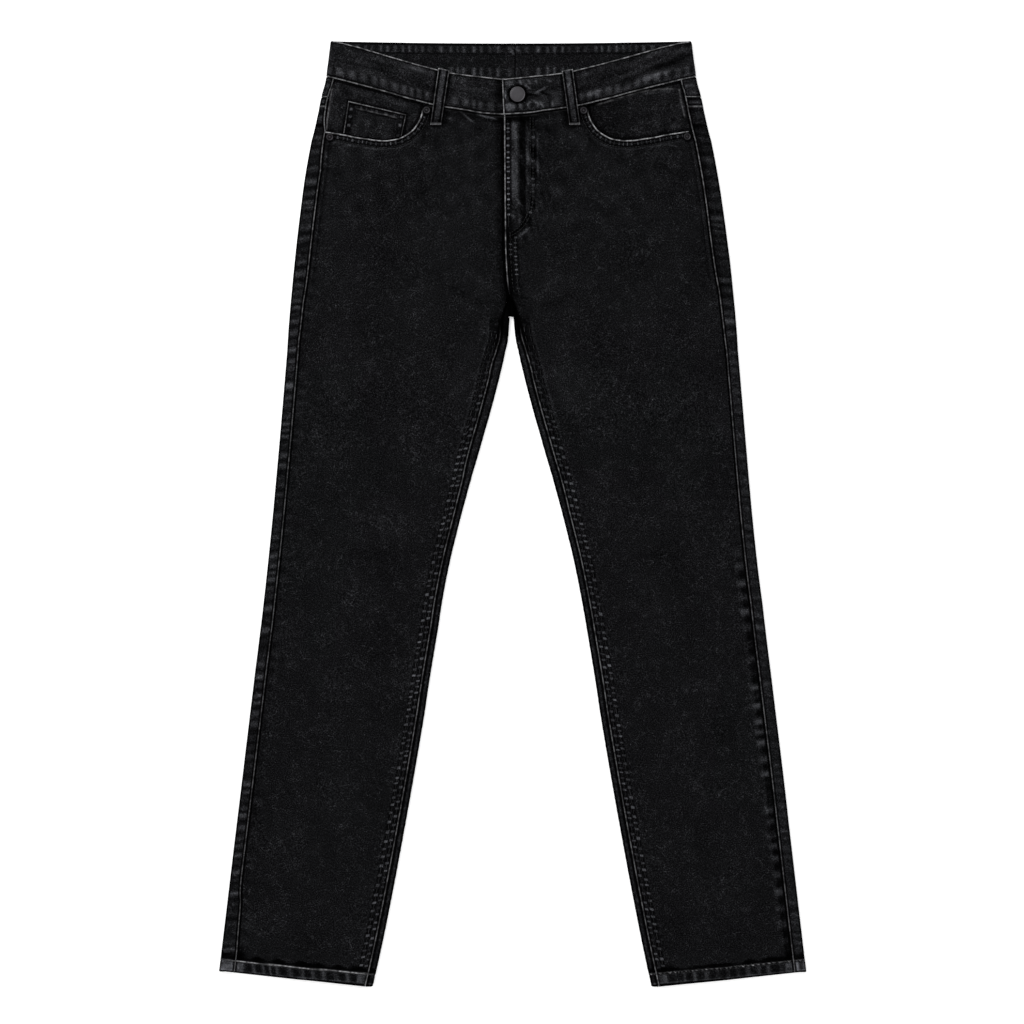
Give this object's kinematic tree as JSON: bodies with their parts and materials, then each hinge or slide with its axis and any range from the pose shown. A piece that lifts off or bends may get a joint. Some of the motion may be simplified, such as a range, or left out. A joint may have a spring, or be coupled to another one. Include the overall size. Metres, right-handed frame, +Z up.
{
  "type": "skinny jeans",
  "caption": "Black washed denim skinny jeans with scooped front pockets, a coin pocket, a lapped zip fly and a metal button, laid flat on their back with the front up.",
  "frame": {"origin": "on the surface the jeans lie on, under the middle of their box", "axes": "+Y towards the waist, +X towards the wearer's left leg, +Z up out of the front of the jeans"},
  "size_m": [0.6446, 1.04, 0.0113],
  "materials": {
    "black_denim": "black washed denim twill, matte, worn grey along the seams",
    "waistband_denim": "black washed denim twill, a little more faded, worn grey along the edges",
    "facing_denim": "black washed denim twill, matte",
    "zip_tape": "woven black tape",
    "gunmetal": "dark gunmetal plating, satin"
  },
  "bodies": {
    "root": {"back_right": "black_denim", "back_left": "black_denim", "front_right": "black_denim", "front_left": "black_denim", "yoke_right": "black_denim", "yoke_left": "black_denim", "back_pocket_right": "black_denim", "back_pocket_left": "black_denim", "waistband_right": "waistband_denim", "waistband_left": "waistband_denim", "pocket_facing_right": "facing_denim", "pocket_facing_left": "facing_denim", "coin_pocket": "facing_denim", "fly_facing": "facing_denim", "zip": "zip_tape", "button": "gunmetal", "belt_loop_front_right": "waistband_denim", "belt_loop_front_left": "waistband_denim", "belt_loop_back_right": "waistband_denim", "belt_loop_back_centre": "waistband_denim", "belt_loop_back_left": "waistband_denim", "rivet_right_inner": "gunmetal", "rivet_right_outer": "gunmetal", "rivet_left_inner": "gunmetal", "rivet_left_outer": "gunmetal"}
  },
  "joints": []
}
